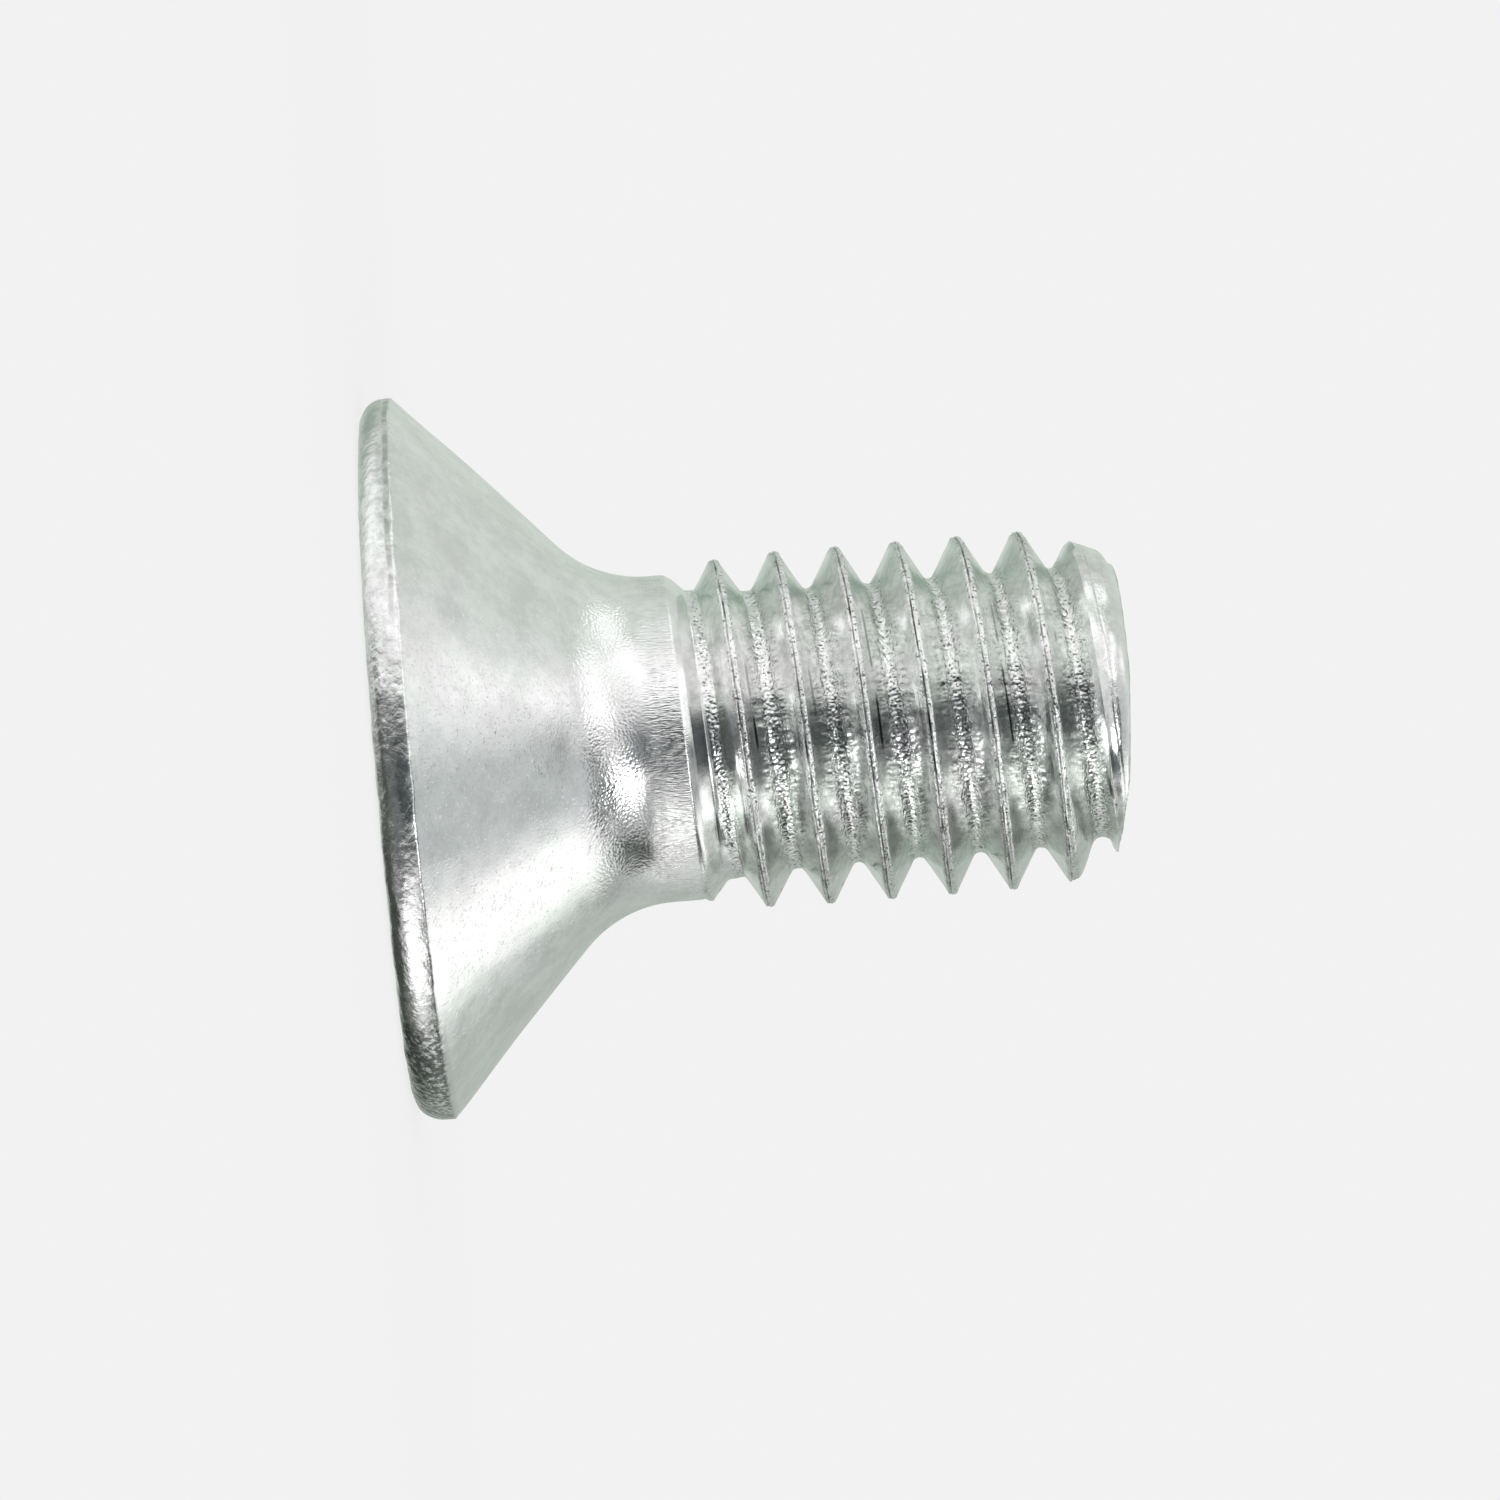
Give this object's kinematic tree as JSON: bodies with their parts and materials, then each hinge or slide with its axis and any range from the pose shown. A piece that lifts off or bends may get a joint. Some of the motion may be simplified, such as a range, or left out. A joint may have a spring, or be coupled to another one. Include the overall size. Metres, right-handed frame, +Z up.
{
  "type": "countersunk socket screw",
  "caption": "Short countersunk screw with a flat conical head, a hexagon socket in its face and a rolled metric thread from the neck to the point.",
  "frame": {"origin": "centre of the head's flat face, which the screw stands on", "axes": "+Z up the shank from the head's face to the point; +X through the middle of one flat of the hexagon socket"},
  "size_m": [0.0118, 0.0118, 0.0121],
  "materials": {
    "zinc_plated_steel": "bright zinc plate, slightly rough, with a pale green cast"
  },
  "bodies": {
    "root": {"countersunk_socket_screw": "zinc_plated_steel"}
  },
  "joints": []
}
